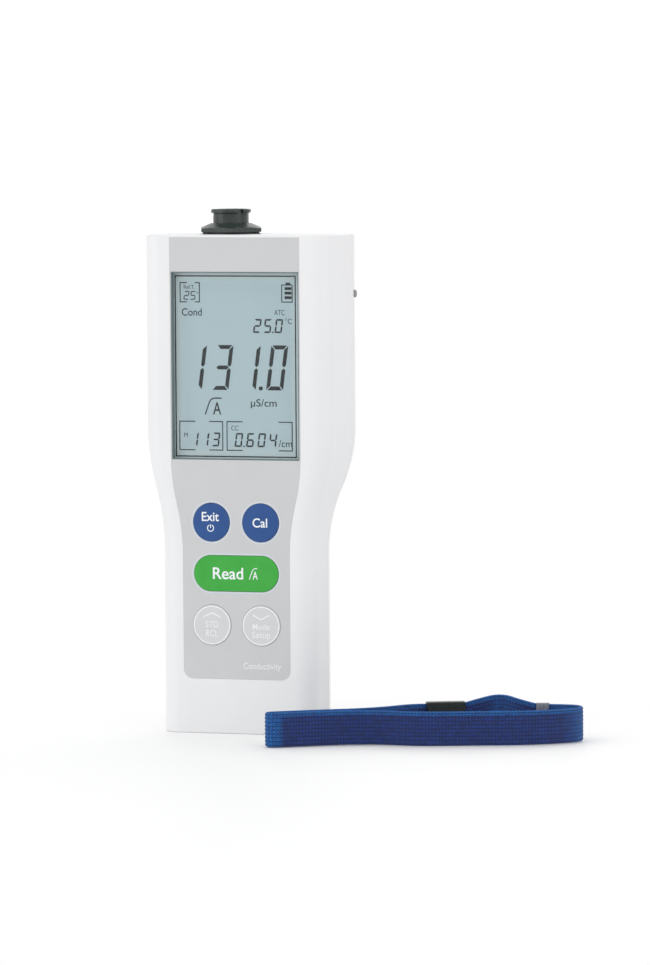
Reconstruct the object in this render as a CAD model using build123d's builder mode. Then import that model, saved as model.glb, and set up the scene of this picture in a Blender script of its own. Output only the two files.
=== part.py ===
from build123d import *
import math
import os

# Handheld conductivity meter with a wrist strap, millimetres.
# The meter stands on its lower end: +Z up, its face looks toward -Y, +X is its right side.
# "Depth" is the distance behind the plane of the face.

os.makedirs("parts", exist_ok=True)

# ---- driving dimensions of the housing
body_height = 200.0
head_depth = 43.0
grip_depth = 33.0
head_half = 43.1             # half width where the two covers meet
grip_half = 34.3
seam_head = 21.0             # depth of the parting line
seam_grip = 13.0
waist_low = 73.0
waist_high = 124.0
front_draft = 13.0           # degrees, sides open toward the parting line
rear_draft = 14.5
front_round = 8.0
rear_round = 15.0
wall = 2.2
overrun = 20.0               # how far cutting shapes run past the ends
reach = 60.0

# ---- keys
key_rise = 0.3
key_gap = 0.15
key_column = 10.45
round_key_radius = 7.7
ring_key_radius = 8.0
read_key_size = (35.8, 14.3)
key_rows = (85.0, 64.5, 43.7)
flange_lip = 0.9
flange_depth = (2.35, 3.2)
plunger_radius = 1.5
plunger_tip = 6.85

# ---- display
window_half = 27.1
window_low = 110.0
window_high = 185.3
glass_low = 109.0
glass_high = 186.3
glass_half = 28.2

# ---- circuit board
board_front = 8.0
board_back = 9.6
board_screws = [(-33, 175), (33, 175), (-33, 142), (33, 142), (-19.5, 29), (19.5, 29)]

# ---- case screws, x and z, with the depth of the parting line there
upper_screws = [(-33.5, 190), (33.5, 190), (-33.5, 127), (33.5, 127)]
lower_screws = [(-24, 14), (24, 14)]

# ---- battery bay
cell_columns = (-16.5, -5.5, 5.5, 16.5)
cell_radius = 5.15
cell_length = 44.5
nub_length = 1.0
spring_height = 4.3
plate_thickness = 0.5
bay_low = 31.0
bay_half = 22.6
bay_floor = 18.8
cell_depth = 24.6
door_half = 24.0
door_low = 21.0
door_high = 94.0
door_gap = 0.25
door_thickness = 2.4
door_screws = [(0, 25.5), (0, 88.0)]

# ---- probe socket
socket_x = -8.75
socket_depth = 21.0
socket_top = 210.0
barrel_radius = 7.2
bore_radius = 5.6
insert_radius = 5.3
flange_radius = 8.1
nut_flats = 24.0

# ---- clip sockets in the sides
clip_z = 176.0
clip_depth = 24.0
clip_bore = 1.6

# ---- strap, standing on edge in front of the meter
tape_width = 14.0
tape_thickness = 1.6
tape_floor = 0.2
tether_radius = 0.7
strap_pin_at = (31.2, 0.65)
strap_pin_radius = 0.75
clip_centre = (85.4, -14.0)
clip_turn = 26.4
clip_length = 15.6
clip_thickness = 5.0
clip_height = 14.4
lug_size = (4.0, 4.4, 4.2)   # the eye on the clip's back that holds the tether
lug_middle = -6.2
crimp_centre = (123.7, -6.8)
crimp_turn = 11.6
crimp_length = 5.2

strap_route = [
    (78.4, -17.5), (72.3, -20.7), (67.2, -32.4), (58.7, -42.9), (46.7, -50.9), (35.2, -59.9),
    (27.6, -65.8), (30.7, -70.1), (36.3, -66.6), (45.2, -59.4), (56.2, -51.6), (69.7, -48.0),
    (82.7, -50.3), (95.2, -47.2), (107.7, -41.7), (121.7, -37.0), (133.7, -29.0), (142.1, -18.0),
    (140.7, -8.6), (133.5, -5.0), (126.2, -6.3),
]
link_route = [(121.2, -7.3), (114.3, -8.2), (106.2, -5.7), (98.3, -7.5), (92.4, -10.5)]
tether_route = [
    (76.6, -14.8, 2.6), (71.5, -17.0, 1.3), (63.9, -17.5, 0.8), (55.2, -13.0, 0.8),
    (46.5, -7.2, 1.2), (40.2, -2.4, 3.6), (35.0, -0.85, 5.5), (29.7, -0.85, 5.5),
    (29.7, 2.15, 5.5), (35.0, 2.15, 5.5), (40.6, 1.2, 3.9), (47.3, -3.6, 1.3),
    (55.3, -9.4, 0.8), (63.4, -14.1, 0.8), (70.3, -14.5, 1.3), (75.6, -12.6, 2.6),
]

# The origin is under the middle of the meter: the raised keys count in its depth.
front_y = -(head_depth + key_rise) / 2 + key_rise
socket_y = front_y + socket_depth
bay_high = bay_low + 2 * plate_thickness + spring_height + cell_length
board_insert_length = 5.0
case_insert_length = 7.0


# ---- helpers

def save(builder, label):
    builder.part.label = label
    export_step(builder.part, f"parts/{label}.step")


def depth_plane(depth):
    return Plane.XZ.offset(-(front_y + depth))


def slab(width, low, high, near, far, x=0.0, mode=Mode.ADD):
    with Locations((x, front_y + (near + far) / 2, (low + high) / 2)):
        Box(width, far - near, high - low, mode=mode)


def rod(x, z, radius, near, far, mode=Mode.ADD):
    with Locations(Location((x, front_y + (near + far) / 2, z), (90, 0, 0))):
        Cylinder(radius, far - near, mode=mode)


def post(x, y, radius, low, high, mode=Mode.ADD):
    with Locations((x, y, (low + high) / 2)):
        Cylinder(radius, high - low, mode=mode)


def waist_curve(low_value, high_value):
    # Two equal tangent arcs lead from the grip's value to the head's.
    bottom = Line((low_value, -overrun), (low_value, waist_low))
    middle = ((low_value + high_value) / 2, (waist_low + waist_high) / 2)
    first = TangentArc(bottom @ 1, middle, tangent=(0, 1))
    second = TangentArc(middle, (high_value, waist_high), tangent=first % 1)
    return Line(second @ 1, (high_value, body_height + overrun))


def side_outline(depth, inset, grip_at, head_at, slope):
    # Front view of the housing at one depth, run past both ends.
    low_half = grip_half + (depth - grip_at) * slope - inset
    high_half = head_half + (depth - head_at) * slope - inset
    with BuildSketch(depth_plane(depth)) as outline:
        with BuildLine():
            top = waist_curve(low_half, high_half)
            Line((0, -overrun), (low_half, -overrun))
            Line(top @ 1, (0, body_height + overrun))
            mirror(about=Plane.YZ)
        make_face()
    return outline.sketch


def depth_region(low_value, high_value):
    # Everything in front of a surface that follows the waist.
    with BuildPart() as region:
        with BuildSketch(Plane.YZ):
            with BuildLine():
                top = waist_curve(front_y + low_value, front_y + high_value)
                near = front_y - overrun
                Polyline(top @ 1, (near, body_height + overrun), (near, -overrun),
                         (front_y + low_value, -overrun))
            make_face()
        extrude(amount=reach, both=True)
    return region.part


def trim_ends(inset):
    with Locations((0, 0, body_height / 2)):
        Box(2 * reach, 2 * reach, body_height - 2 * inset, mode=Mode.INTERSECT)


def front_form(inset):
    # The front cover's outer form, or the same form drawn in. Its sides run past the seam.
    slope = math.tan(math.radians(front_draft))
    drawn_in = inset / math.cos(math.radians(front_draft))
    with BuildPart() as form:
        loft([side_outline(depth, drawn_in, seam_grip, seam_head, slope)
              for depth in (head_depth + 4, inset)], ruled=True)
        face = form.faces().sort_by(Axis.Y)[0]
        fillet([e for e in face.edges() if abs(e.center().X) > 15], front_round - inset)
        trim_ends(inset)
    return form


def rear_form(inset):
    # The rear cover's outer form, or the same form drawn in. Its sides run past the seam.
    slope = -math.tan(math.radians(rear_draft))
    drawn_in = inset / math.cos(math.radians(rear_draft))
    with BuildPart() as form:
        loft([side_outline(depth, drawn_in, seam_grip, seam_head, slope)
              for depth in (-2, head_depth + 4)], ruled=True)
        add(depth_region(grip_depth - inset, head_depth - inset), mode=Mode.INTERSECT)
        back = front_y + grip_depth - inset - 0.5
        corners = [e for e in form.edges() if abs(e.center().X) > 15 and e.center().Y > back]
        fillet(corners, rear_round - inset)
        trim_ends(inset)
    return form


def soften_ends(form):
    with form:
        fillet(form.faces().sort_by(Axis.Z)[-1].edges(), 0.8)
        fillet(form.faces().sort_by(Axis.Z)[0].edges(), 0.6)
    return form.part


def seam_prism(inset):
    # Straight sides below the edge of the seam, drawn in.
    with BuildPart() as prism:
        extrude(side_outline(0, inset, 0, 0, 0), amount=-head_depth)
        trim_ends(inset)
    return prism.part


def layer(outside, inside, width, low, high):
    # A piece of the rear wall between two of the forms.
    with BuildPart() as piece:
        add(outside)
        add(inside, mode=Mode.SUBTRACT)
        slab(width, low, high, seam_grip + 4, head_depth + 4, mode=Mode.INTERSECT)
    return piece.part


def key_outline(kind, grow):
    if kind == "read":
        SlotOverall(read_key_size[0] + 2 * grow, read_key_size[1] + 2 * grow)
    elif kind == "ring":
        Circle(ring_key_radius + grow)
    else:
        Circle(round_key_radius + grow)


keys = {
    "exit_key": ("round", -key_column, key_rows[0]),
    "cal_key": ("round", key_column, key_rows[0]),
    "read_key": ("read", 0.0, key_rows[1]),
    "up_key": ("ring", -key_column, key_rows[2]),
    "down_key": ("ring", key_column, key_rows[2]),
}


def key_profile(key, grow, depth):
    kind, x, z = keys[key]
    with BuildSketch(depth_plane(depth)) as profile:
        with Locations((x, z)):
            key_outline(kind, grow)
    return profile.sketch


def cut_key_holes(depth):
    for key in keys:
        extrude(key_profile(key, key_gap, depth), amount=depth + 1, mode=Mode.SUBTRACT)


# ---- shared forms

print("forms")
front_outer = soften_ends(front_form(0.0))
front_inner = front_form(wall).part
rear_outer = soften_ends(rear_form(0.0))
rear_inner = rear_form(wall).part
ledge_top = rear_form(wall - 0.2).part
door_inner = rear_form(door_thickness).part
door_seat = rear_form(door_thickness + 0.2).part
seal_inner = rear_form(door_thickness + 0.6).part
groove_floor = rear_form(door_thickness + 0.7).part
ledge_under = rear_form(door_thickness + 2.2).part
front_zone = depth_region(seam_grip, seam_head)


# ---- label on the face

label_upper = 27.55
label_lower = 22.7
label_low = 22.0
label_high = 199.0
label_curve = (72.0, 112.0)
label_thickness = 0.35
label_corner = 4.0
label_fit = 0.05


def label_outline(shrink):
    low_half = label_lower - shrink
    high_half = label_upper - shrink
    bottom = label_low + shrink
    with BuildSketch(depth_plane(label_thickness)) as face:
        with BuildLine():
            side = Line((low_half, bottom), (low_half, label_curve[0]))
            middle = ((low_half + high_half) / 2, sum(label_curve) / 2)
            first = TangentArc(side @ 1, middle, tangent=(0, 1))
            second = TangentArc(middle, (high_half, label_curve[1]), tangent=first % 1)
            Polyline(second @ 1, (high_half, label_high - shrink), (0, label_high - shrink))
            Line((0, bottom), side @ 0)
            mirror(about=Plane.YZ)
        make_face()
        fillet(face.vertices().group_by(Axis.Y)[0], label_corner)
    return face.sketch


with BuildPart() as front_overlay:
    extrude(label_outline(label_fit), amount=label_thickness)
    slab(2 * window_half, window_low, window_high, -1, 1, mode=Mode.SUBTRACT)
    cut_key_holes(1.0)
save(front_overlay, "front_overlay")


# ---- gasket between the covers

print("covers")
gasket_half_height = 0.6

with BuildPart() as housing_gasket:
    add(seam_prism(0.9))
    add(seam_prism(1.7), mode=Mode.SUBTRACT)
    add(depth_region(seam_grip + gasket_half_height, seam_head + gasket_half_height),
        mode=Mode.INTERSECT)
    add(depth_region(seam_grip - gasket_half_height, seam_head - gasket_half_height),
        mode=Mode.SUBTRACT)
    post(socket_x, socket_y, barrel_radius + 0.4, body_height - 2 * wall, body_height + 2,
         mode=Mode.SUBTRACT)
save(housing_gasket, "housing_gasket")


# ---- fine groove round the seam, shared by both covers

groove_half = 0.15
groove_depth = 0.5

with BuildPart() as seam_line:
    add(depth_region(seam_grip + groove_half, seam_head + groove_half))
    add(depth_region(seam_grip - groove_half, seam_head - groove_half), mode=Mode.SUBTRACT)
    add(seam_prism(groove_depth), mode=Mode.SUBTRACT)


# ---- front cover: shell, screw bosses, board posts

case_boss_radius = 3.8
case_insert_radius = 2.2
case_screw_radius = 1.25
board_post_radius = 2.4
board_screw_radius = 0.9
boss_root = wall - 0.7       # bosses start inside the wall

with BuildPart() as front_cover:
    add(front_outer)
    add(front_inner, mode=Mode.SUBTRACT)
    for x, z in upper_screws:
        rod(x, z, case_boss_radius, boss_root, seam_head)
    for x, z in lower_screws:
        rod(x, z, case_boss_radius, boss_root, seam_grip)
    for x, z in board_screws:
        rod(x, z, board_post_radius, boss_root, board_front)
    add(front_outer, mode=Mode.INTERSECT)
    add(front_zone, mode=Mode.INTERSECT)
    for screws, seam, depth in ((upper_screws, seam_head, 10), (lower_screws, seam_grip, 9)):
        for x, z in screws:
            rod(x, z, case_insert_radius, seam - case_insert_length, seam + 1,
                mode=Mode.SUBTRACT)
            rod(x, z, case_screw_radius, seam - depth, seam, mode=Mode.SUBTRACT)
    for x, z in board_screws:
        rod(x, z, board_screw_radius, board_front - board_insert_length, board_front + 1,
            mode=Mode.SUBTRACT)
    slab(2 * window_half, window_low, window_high, -1, wall + 1, mode=Mode.SUBTRACT)
    cut_key_holes(wall + 0.5)
    extrude(label_outline(0.0), amount=label_thickness + 1, mode=Mode.SUBTRACT)
    post(socket_x, socket_y, barrel_radius + 0.1, body_height - 2 * wall, body_height + 2,
         mode=Mode.SUBTRACT)
    add(housing_gasket.part, mode=Mode.SUBTRACT)
    add(seam_line.part, mode=Mode.SUBTRACT)
save(front_cover, "front_cover")


# ---- rear cover: shell, battery bay, screw wells, clip sockets, strap eyelet

well_radius = 4.6
head_well = 3.1
web = 3.0                    # wall under a screw head
head_seat = web + 1.0        # depth of the seat behind the parting line
box_wall = 4.0
door_boss = 3.6
eyelet_low = 2.5
eyelet_high = 8.5
eyelet_half = 3.5
eyelet_floor = 28.6          # x of the pocket's floor
type_plate = (40.0, 140.0, 172.0)
plate_recess = 0.3


def surface_depth(z):
    # Depth of the back face above a height, on the two arcs of the waist.
    part = min(max((z - waist_low) / (waist_high - waist_low), 0.0), 1.0)
    step = head_depth - grip_depth
    rise = 2 * part ** 2 if part < 0.5 else 1 - 2 * (1 - part) ** 2
    return grip_depth + step * rise


with BuildPart() as seal_groove:
    add(layer(door_seat, groove_floor, 2 * door_half - 0.4, door_low + 0.2, door_high - 0.2))
    slab(2 * door_half - 3.0, door_low + 1.5, door_high - 1.5, seam_grip, head_depth + 4,
         mode=Mode.SUBTRACT)

with BuildPart() as rear_cover:
    add(rear_outer)
    add(rear_inner, mode=Mode.SUBTRACT)
    add(layer(ledge_top, ledge_under, 2 * door_half + 6, door_low - 2.5, door_high + 2.5))
    slab(2 * bay_half + 2 * box_wall, bay_low - 2.4, bay_high + 2.4, bay_floor - 1.6, head_depth)
    for x, z in upper_screws:
        rod(x, z, well_radius, seam_head, head_depth)
    for x, z in lower_screws:
        rod(x, z, well_radius, seam_grip, grip_depth)
    for x, z in door_screws:
        rod(x, z, door_boss, surface_depth(z) - 10, surface_depth(z) - 2)
    slab(10, 0.5, eyelet_high + 1.8, seam_grip + 3.5, seam_grip + 14.5, x=eyelet_floor + 3.8)
    for side in (-1, 1):
        with Locations(Location((side * 38.5, front_y + clip_depth, clip_z), (0, 90, 0))):
            Cylinder(clip_bore + 1.6, 8)
    add(rear_outer, mode=Mode.INTERSECT)
    add(front_zone, mode=Mode.SUBTRACT)
    slab(2 * bay_half, bay_low, bay_high, bay_floor, head_depth, mode=Mode.SUBTRACT)
    add(layer(rear_outer, door_seat, 2 * (door_half + door_gap), door_low - door_gap,
              door_high + door_gap), mode=Mode.SUBTRACT)
    add(seal_groove.part, mode=Mode.SUBTRACT)
    for screws, seam in ((upper_screws, seam_head), (lower_screws, seam_grip)):
        for x, z in screws:
            rod(x, z, head_well, seam + head_seat, head_depth + 1, mode=Mode.SUBTRACT)
            rod(x, z, case_screw_radius + 0.2, seam - 1, seam + head_seat + 1,
                mode=Mode.SUBTRACT)
    for x, z in door_screws:
        rod(x, z, 2.0, surface_depth(z) - 8.4, surface_depth(z), mode=Mode.SUBTRACT)
    slab(8, eyelet_low, eyelet_high, seam_grip + 5.5, seam_grip + 12.5,
         x=eyelet_floor + 4, mode=Mode.SUBTRACT)
    post(*strap_pin_at, strap_pin_radius, eyelet_low - 1.2, eyelet_high + 1.2,
         mode=Mode.SUBTRACT)
    for side in (-1, 1):
        with Locations(Location((side * 40.5, front_y + clip_depth, clip_z), (0, 90, 0))):
            Cylinder(clip_bore, 6, mode=Mode.SUBTRACT)
    slab(*type_plate, head_depth - plate_recess, head_depth + 1, mode=Mode.SUBTRACT)
    post(socket_x, socket_y, barrel_radius + 0.1, body_height - 2 * wall, body_height + 2,
         mode=Mode.SUBTRACT)
    for x in (-11, 11):
        rod(x, bay_low + plate_thickness + 0.8, 0.85, bay_floor - 3, bay_floor + 1,
            mode=Mode.SUBTRACT)
    add(housing_gasket.part, mode=Mode.SUBTRACT)
    add(seam_line.part, mode=Mode.SUBTRACT)
save(rear_cover, "rear_cover")

with BuildPart() as rear_label:
    slab(type_plate[0] - 0.2, type_plate[1] + 0.1, type_plate[2] - 0.1,
         head_depth - plate_recess, head_depth)
save(rear_label, "rear_label")

with BuildPart() as strap_pin:
    post(*strap_pin_at, strap_pin_radius, eyelet_low - 1.2, eyelet_high + 1.2)
save(strap_pin, "strap_pin")


# ---- screws and inserts of the case

def pan_screw(x, z, seat, head_radius, head_height, shank_radius, shank_length, recess):
    # A screw driven from the back, its head's underside on the seat.
    rod(x, z, head_radius, seat, seat + head_height)
    rod(x, z, shank_radius, seat - shank_length, seat)
    with BuildSketch(depth_plane(seat + head_height)) as socket:
        with Locations((x, z)):
            RegularPolygon(recess, 6)
    extrude(socket.sketch, amount=head_height * 0.6, mode=Mode.SUBTRACT)


with BuildPart() as case_screws:
    for x, z in upper_screws:
        pan_screw(x, z, seam_head + head_seat, 2.8, 1.9, case_screw_radius - 0.05, 12.5, 1.2)
    for x, z in lower_screws:
        pan_screw(x, z, seam_grip + head_seat, 2.8, 1.9, case_screw_radius - 0.05, 11.5, 1.2)
save(case_screws, "case_screws")

with BuildPart() as case_inserts:
    for screws, seam in ((upper_screws, seam_head), (lower_screws, seam_grip)):
        for x, z in screws:
            rod(x, z, case_insert_radius, seam - case_insert_length, seam)
            rod(x, z, case_screw_radius, seam - case_insert_length - 1, seam + 1,
                mode=Mode.SUBTRACT)
save(case_inserts, "case_inserts")


# ---- display, from the face inward

print("display")
liner_wall = 0.45
window_back = wall + 1.0
frame_half = 29.4
frame_low = 104.9
frame_high = 190.4
ledge = 2.8                  # the rear glass runs past the front glass

with BuildPart() as window_liner:
    slab(2 * window_half, window_low, window_high, 0.25, wall)
    slab(2 * (window_half - liner_wall), window_low + liner_wall, window_high - liner_wall,
         0, wall + 1, mode=Mode.SUBTRACT)
save(window_liner, "window_liner")

with BuildPart() as display_window:
    slab(2 * window_half + 4.8, window_low - 2.35, window_high + 2.35, wall, window_back)
save(display_window, "display_window")

with BuildPart() as lcd_front_glass:
    slab(2 * glass_half, glass_low, glass_high, 3.4, 4.1)
save(lcd_front_glass, "lcd_front_glass")

with BuildPart() as lcd_rear_glass:
    slab(2 * glass_half, glass_low - ledge, glass_high + ledge, 4.1, 4.8)
save(lcd_rear_glass, "lcd_rear_glass")

with BuildPart() as lcd_reflector:
    slab(2 * glass_half, glass_low, glass_high, 4.8, 5.0)
save(lcd_reflector, "lcd_reflector")

with BuildPart() as lcd_frame:
    slab(2 * frame_half, frame_low, frame_high, window_back, board_front)
    slab(2 * glass_half + 0.2, glass_low - ledge - 0.1, glass_high + ledge + 0.1,
         window_back + 0.2, board_front + 1, mode=Mode.SUBTRACT)
    slab(2 * window_half + 0.4, window_low - 0.2, window_high + 0.2, 0, board_front,
         mode=Mode.SUBTRACT)
save(lcd_frame, "lcd_frame")

with BuildPart() as zebra_strips:
    for middle in (glass_low - 1.5, glass_high + 1.5):
        slab(52, middle - 0.9, middle + 0.9, 4.8, board_front)
save(zebra_strips, "zebra_strips")


# ---- circuit board and what is on it

print("electronics")
chip_height = 1.4
header_back = board_back + 2.8

with BuildPart() as main_board:
    with BuildSketch(depth_plane(board_back)):
        with BuildLine():
            Polyline((0, 20), (27, 20), (27, 80), (36.2, 118), (36.2, 185), (29, 185), (29, 191),
                     (0, 191))
            mirror(about=Plane.YZ)
        make_face()
    extrude(amount=board_back - board_front)
    for x, z in board_screws:
        rod(x, z, board_screw_radius + 0.2, 0, board_back + 1, mode=Mode.SUBTRACT)
    for x, z in upper_screws[2:]:
        rod(x, z, case_boss_radius + 0.5, 0, board_back + 1, mode=Mode.SUBTRACT)
save(main_board, "main_board")

with BuildPart() as board_screw_set:
    for x, z in board_screws:
        pan_screw(x, z, board_back, 1.9, 1.3, board_screw_radius, 6.0, 0.8)
save(board_screw_set, "board_screws")

with BuildPart() as controller_chip:
    slab(12, 138, 150, board_back, board_back + chip_height, x=6)
    chamfer(controller_chip.faces().sort_by(Axis.Y)[-1].edges(), 0.2)
save(controller_chip, "controller_chip")

with BuildPart() as clock_crystal:
    with BuildSketch(depth_plane(board_back)):
        with Locations((22, 144)):
            SlotOverall(11, 4.6)
    extrude(amount=-3.5)
    fillet(clock_crystal.faces().sort_by(Axis.Y)[-1].edges(), 0.6)
save(clock_crystal, "clock_crystal")

with BuildPart() as buzzer:
    rod(18, 108, 6, board_back, board_back + 4.5)
    rod(18, 108, 1, board_back + 3, board_back + 5, mode=Mode.SUBTRACT)
save(buzzer, "buzzer")

with BuildPart() as input_shield:
    slab(24, 150, 168, board_back, board_back + 3.0, x=-15)
    slab(23.4, 150.3, 167.7, board_back - 1, board_back + 2.7, x=-15, mode=Mode.SUBTRACT)
save(input_shield, "input_shield")

with BuildPart() as input_amplifier:
    slab(7, 155, 162, board_back, board_back + 1.1, x=-15)
save(input_amplifier, "input_amplifier")

with BuildPart() as capacitors:
    for x in (-20, -14, -8):
        rod(x, 132, 2.2, board_back, board_back + 4.4)
    for z in (156, 160, 164):
        slab(3.2, z, z + 1.6, board_back, board_back + 1.0, x=6)
save(capacitors, "capacitors")

with BuildPart() as ribbon_header:
    slab(12, 173, 177, board_back, header_back, x=socket_x)
save(ribbon_header, "ribbon_header")


# ---- keys and the domes under them

print("keys")
dome_height = 0.65
dome_radius = 3.8
dome_sphere = (dome_radius ** 2 + dome_height ** 2) / (2 * dome_height)

for label, (kind, x, z) in keys.items():
    with BuildPart() as key:
        extrude(key_profile(label, 0.0, flange_depth[0]), amount=flange_depth[0] + key_rise)
        fillet(key.faces().sort_by(Axis.Y)[0].edges(), 0.2)
        extrude(key_profile(label, flange_lip, flange_depth[1]),
                amount=flange_depth[1] - flange_depth[0])
        rod(x, z, plunger_radius, flange_depth[1], plunger_tip)
    save(key, label)

with BuildPart() as snap_domes:
    for kind, x, z in keys.values():
        centre = (x, front_y + board_front - dome_height + dome_sphere, z)
        with Locations(centre):
            Sphere(dome_sphere)
    slab(60, 20, 110, 0, board_front, mode=Mode.INTERSECT)
save(snap_domes, "snap_domes")

with BuildPart() as dome_sheet:
    slab(44, 36, 95, board_front - 0.3, board_front)
    for kind, x, z in keys.values():
        rod(x, z, dome_radius + 0.2, 0, board_front + 1, mode=Mode.SUBTRACT)
save(dome_sheet, "dome_sheet")


# ---- probe socket on the top

print("socket")
gasket_top = body_height + 0.8
nut_shoulder = 202.7
nut_top = 204.3
collar_radius = 10.0
collar_top = body_height - wall
collar_low = collar_top - 2.4
socket_floor = 186.0
insert_top = 202.4
contact_ring = 3.4
contact_radius = 0.6
nut_turn = 21.6              # the corner of the hexagon, degrees right of the front

with BuildPart() as socket_shell:
    with BuildSketch(Plane.XZ.offset(-socket_y)):
        with BuildLine():
            Polyline((socket_x + insert_radius, socket_floor),
                     (socket_x + 7.6, socket_floor),
                     (socket_x + 7.6, collar_low),
                     (socket_x + collar_radius, collar_low),
                     (socket_x + collar_radius, collar_top),
                     (socket_x + barrel_radius, collar_top),
                     (socket_x + barrel_radius, 208.2),
                     (socket_x + flange_radius, 208.6),
                     (socket_x + flange_radius, socket_top - 0.4),
                     (socket_x + flange_radius - 0.4, socket_top),
                     (socket_x + bore_radius + 0.3, socket_top),
                     (socket_x + bore_radius, socket_top - 0.3),
                     (socket_x + bore_radius, insert_top),
                     (socket_x + insert_radius, insert_top),
                     (socket_x + insert_radius, socket_floor))
        make_face()
    revolve(axis=Axis((socket_x, socket_y, 0), (0, 0, 1)))
    with Locations(Location((socket_x, socket_y, 0))):
        with PolarLocations(flange_radius, 3, start_angle=200):
            with Locations((0, 0, socket_top - 1)):
                Box(2.4, 2.2, 4, mode=Mode.SUBTRACT)
save(socket_shell, "socket_shell")

with BuildPart() as socket_gasket:
    post(socket_x, socket_y, 11.4, body_height, gasket_top)
    post(socket_x, socket_y, barrel_radius, body_height - 1, gasket_top + 1, mode=Mode.SUBTRACT)
save(socket_gasket, "socket_gasket")

with BuildPart() as socket_nut:
    with BuildSketch(Plane.XZ.offset(-socket_y)):
        with BuildLine():
            Polyline((socket_x, gasket_top), (socket_x + 13.6, gasket_top),
                     (socket_x + 14.0, gasket_top + 0.3), (socket_x + 14.0, nut_shoulder - 0.5),
                     (socket_x + 12.0, nut_shoulder), (socket_x + 8.2, nut_top),
                     (socket_x, nut_top), (socket_x, gasket_top))
        make_face()
    revolve(axis=Axis((socket_x, socket_y, 0), (0, 0, 1)))
    with BuildSketch(Plane.XY.offset(gasket_top)):
        with Locations(Location((socket_x, socket_y, 0), (0, 0, nut_turn - 90))):
            RegularPolygon(nut_flats / 2, 6, major_radius=False, rotation=0)
    extrude(amount=nut_top - gasket_top, mode=Mode.INTERSECT)
    post(socket_x, socket_y, barrel_radius + 0.05, gasket_top - 1, nut_top + 1,
         mode=Mode.SUBTRACT)
save(socket_nut, "socket_nut")


def contact_posts(radius, low, high, mode=Mode.ADD):
    with Locations((socket_x, socket_y, (low + high) / 2)):
        Cylinder(radius, high - low, mode=mode)
        with PolarLocations(contact_ring, 6):
            Cylinder(radius, high - low, mode=mode)


with BuildPart() as socket_insert:
    post(socket_x, socket_y, insert_radius, socket_floor, insert_top)
    contact_posts(contact_radius, socket_floor - 1, insert_top + 1, mode=Mode.SUBTRACT)
save(socket_insert, "socket_insert")

with BuildPart() as socket_contacts:
    contact_posts(contact_radius, 183.0, insert_top)
    contact_posts(0.3, insert_top - 3, insert_top + 1, mode=Mode.SUBTRACT)
save(socket_contacts, "socket_contacts")

with BuildPart() as socket_board:
    post(socket_x, socket_y, 7.0, 184.0, 185.2)
    contact_posts(contact_radius, 183.0, 186.0, mode=Mode.SUBTRACT)
save(socket_board, "socket_board")

with BuildPart() as socket_ribbon:
    with BuildSketch(Plane.YZ.offset(socket_x)):
        with BuildLine() as ribbon_line:
            FilletPolyline((socket_y - 5, 184.0), (socket_y - 5, 175.0),
                           (front_y + header_back, 175.0), radius=2.2)
        trace(ribbon_line.line, 0.5)
    extrude(amount=4.5, both=True)
    slab(20, 170, 184.0, header_back, seam_head, x=socket_x, mode=Mode.INTERSECT)
save(socket_ribbon, "socket_ribbon")


# ---- battery bay: cells, contacts and posts to the board

print("battery")
cell_low = bay_low + plate_thickness
cell_high = bay_high - plate_thickness
cell_y = front_y + cell_depth

for number, x in enumerate(cell_columns, start=1):
    positive_up = number % 2 == 1
    base = cell_low + spring_height if positive_up else cell_low + nub_length
    body_length = cell_length - nub_length
    with BuildPart() as cell:
        post(x, cell_y, cell_radius, base, base + body_length)
        fillet(cell.edges().filter_by(GeomType.CIRCLE), 0.4)
        nub_base = base + body_length if positive_up else cell_low
        post(x, cell_y, 1.9, nub_base, nub_base + nub_length)
    save(cell, f"battery_cell_{number}")

spring_wire = 0.3
spring_radius = 2.8
with BuildPart() as contact_spring:
    with BuildLine() as coil:
        Helix(pitch=1.25, height=spring_height - 2 * spring_wire, radius=spring_radius)
    with BuildSketch(Plane(origin=coil.line @ 0, z_dir=coil.line % 0)):
        Circle(spring_wire)
    sweep()

with BuildPart() as contact_springs:
    for number, x in enumerate(cell_columns):
        low = cell_low if number % 2 == 0 else cell_high - spring_height
        with Locations((x, cell_y, low + spring_wire)):
            add(contact_spring.part)
save(contact_springs, "contact_springs")

with BuildPart() as contact_plates:
    for x, width, low in ((-11, 19, bay_low), (11, 19, bay_low),
                          (-16.5, 8, cell_high), (0, 19, cell_high), (16.5, 8, cell_high)):
        slab(width, low, low + plate_thickness, bay_floor, bay_floor + 10, x=x)
save(contact_plates, "contact_plates")

with BuildPart() as battery_posts:
    for x in (-11, 11):
        rod(x, cell_low + 0.8, 0.8, board_back, bay_floor + 2.2)
save(battery_posts, "battery_posts")


# ---- battery door with its seal, pad and screws

with BuildPart() as battery_door:
    add(layer(rear_outer, door_inner, 2 * door_half, door_low, door_high))
    for x, z in door_screws:
        rod(x, z, 2.7, surface_depth(z) - 1.3, head_depth + 2, mode=Mode.SUBTRACT)
        rod(x, z, 1.35, surface_depth(z) - 5, head_depth, mode=Mode.SUBTRACT)
save(battery_door, "battery_door")

with BuildPart() as door_seal:
    add(layer(door_inner, seal_inner, 2 * door_half - 0.6, door_low + 0.3, door_high - 0.3))
    slab(2 * door_half - 2.8, door_low + 1.4, door_high - 1.4, seam_grip, head_depth + 4,
         mode=Mode.SUBTRACT)
save(door_seal, "door_seal")

with BuildPart() as battery_pad:
    slab(35, 48, 64, cell_depth + cell_radius + 0.1, grip_depth - door_thickness)
save(battery_pad, "battery_pad")

with BuildPart() as door_screw_set:
    for x, z in door_screws:
        pan_screw(x, z, surface_depth(z) - 1.3, 2.5, 1.1, 1.15, 6.5, 1.0)
save(door_screw_set, "door_screws")

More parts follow.
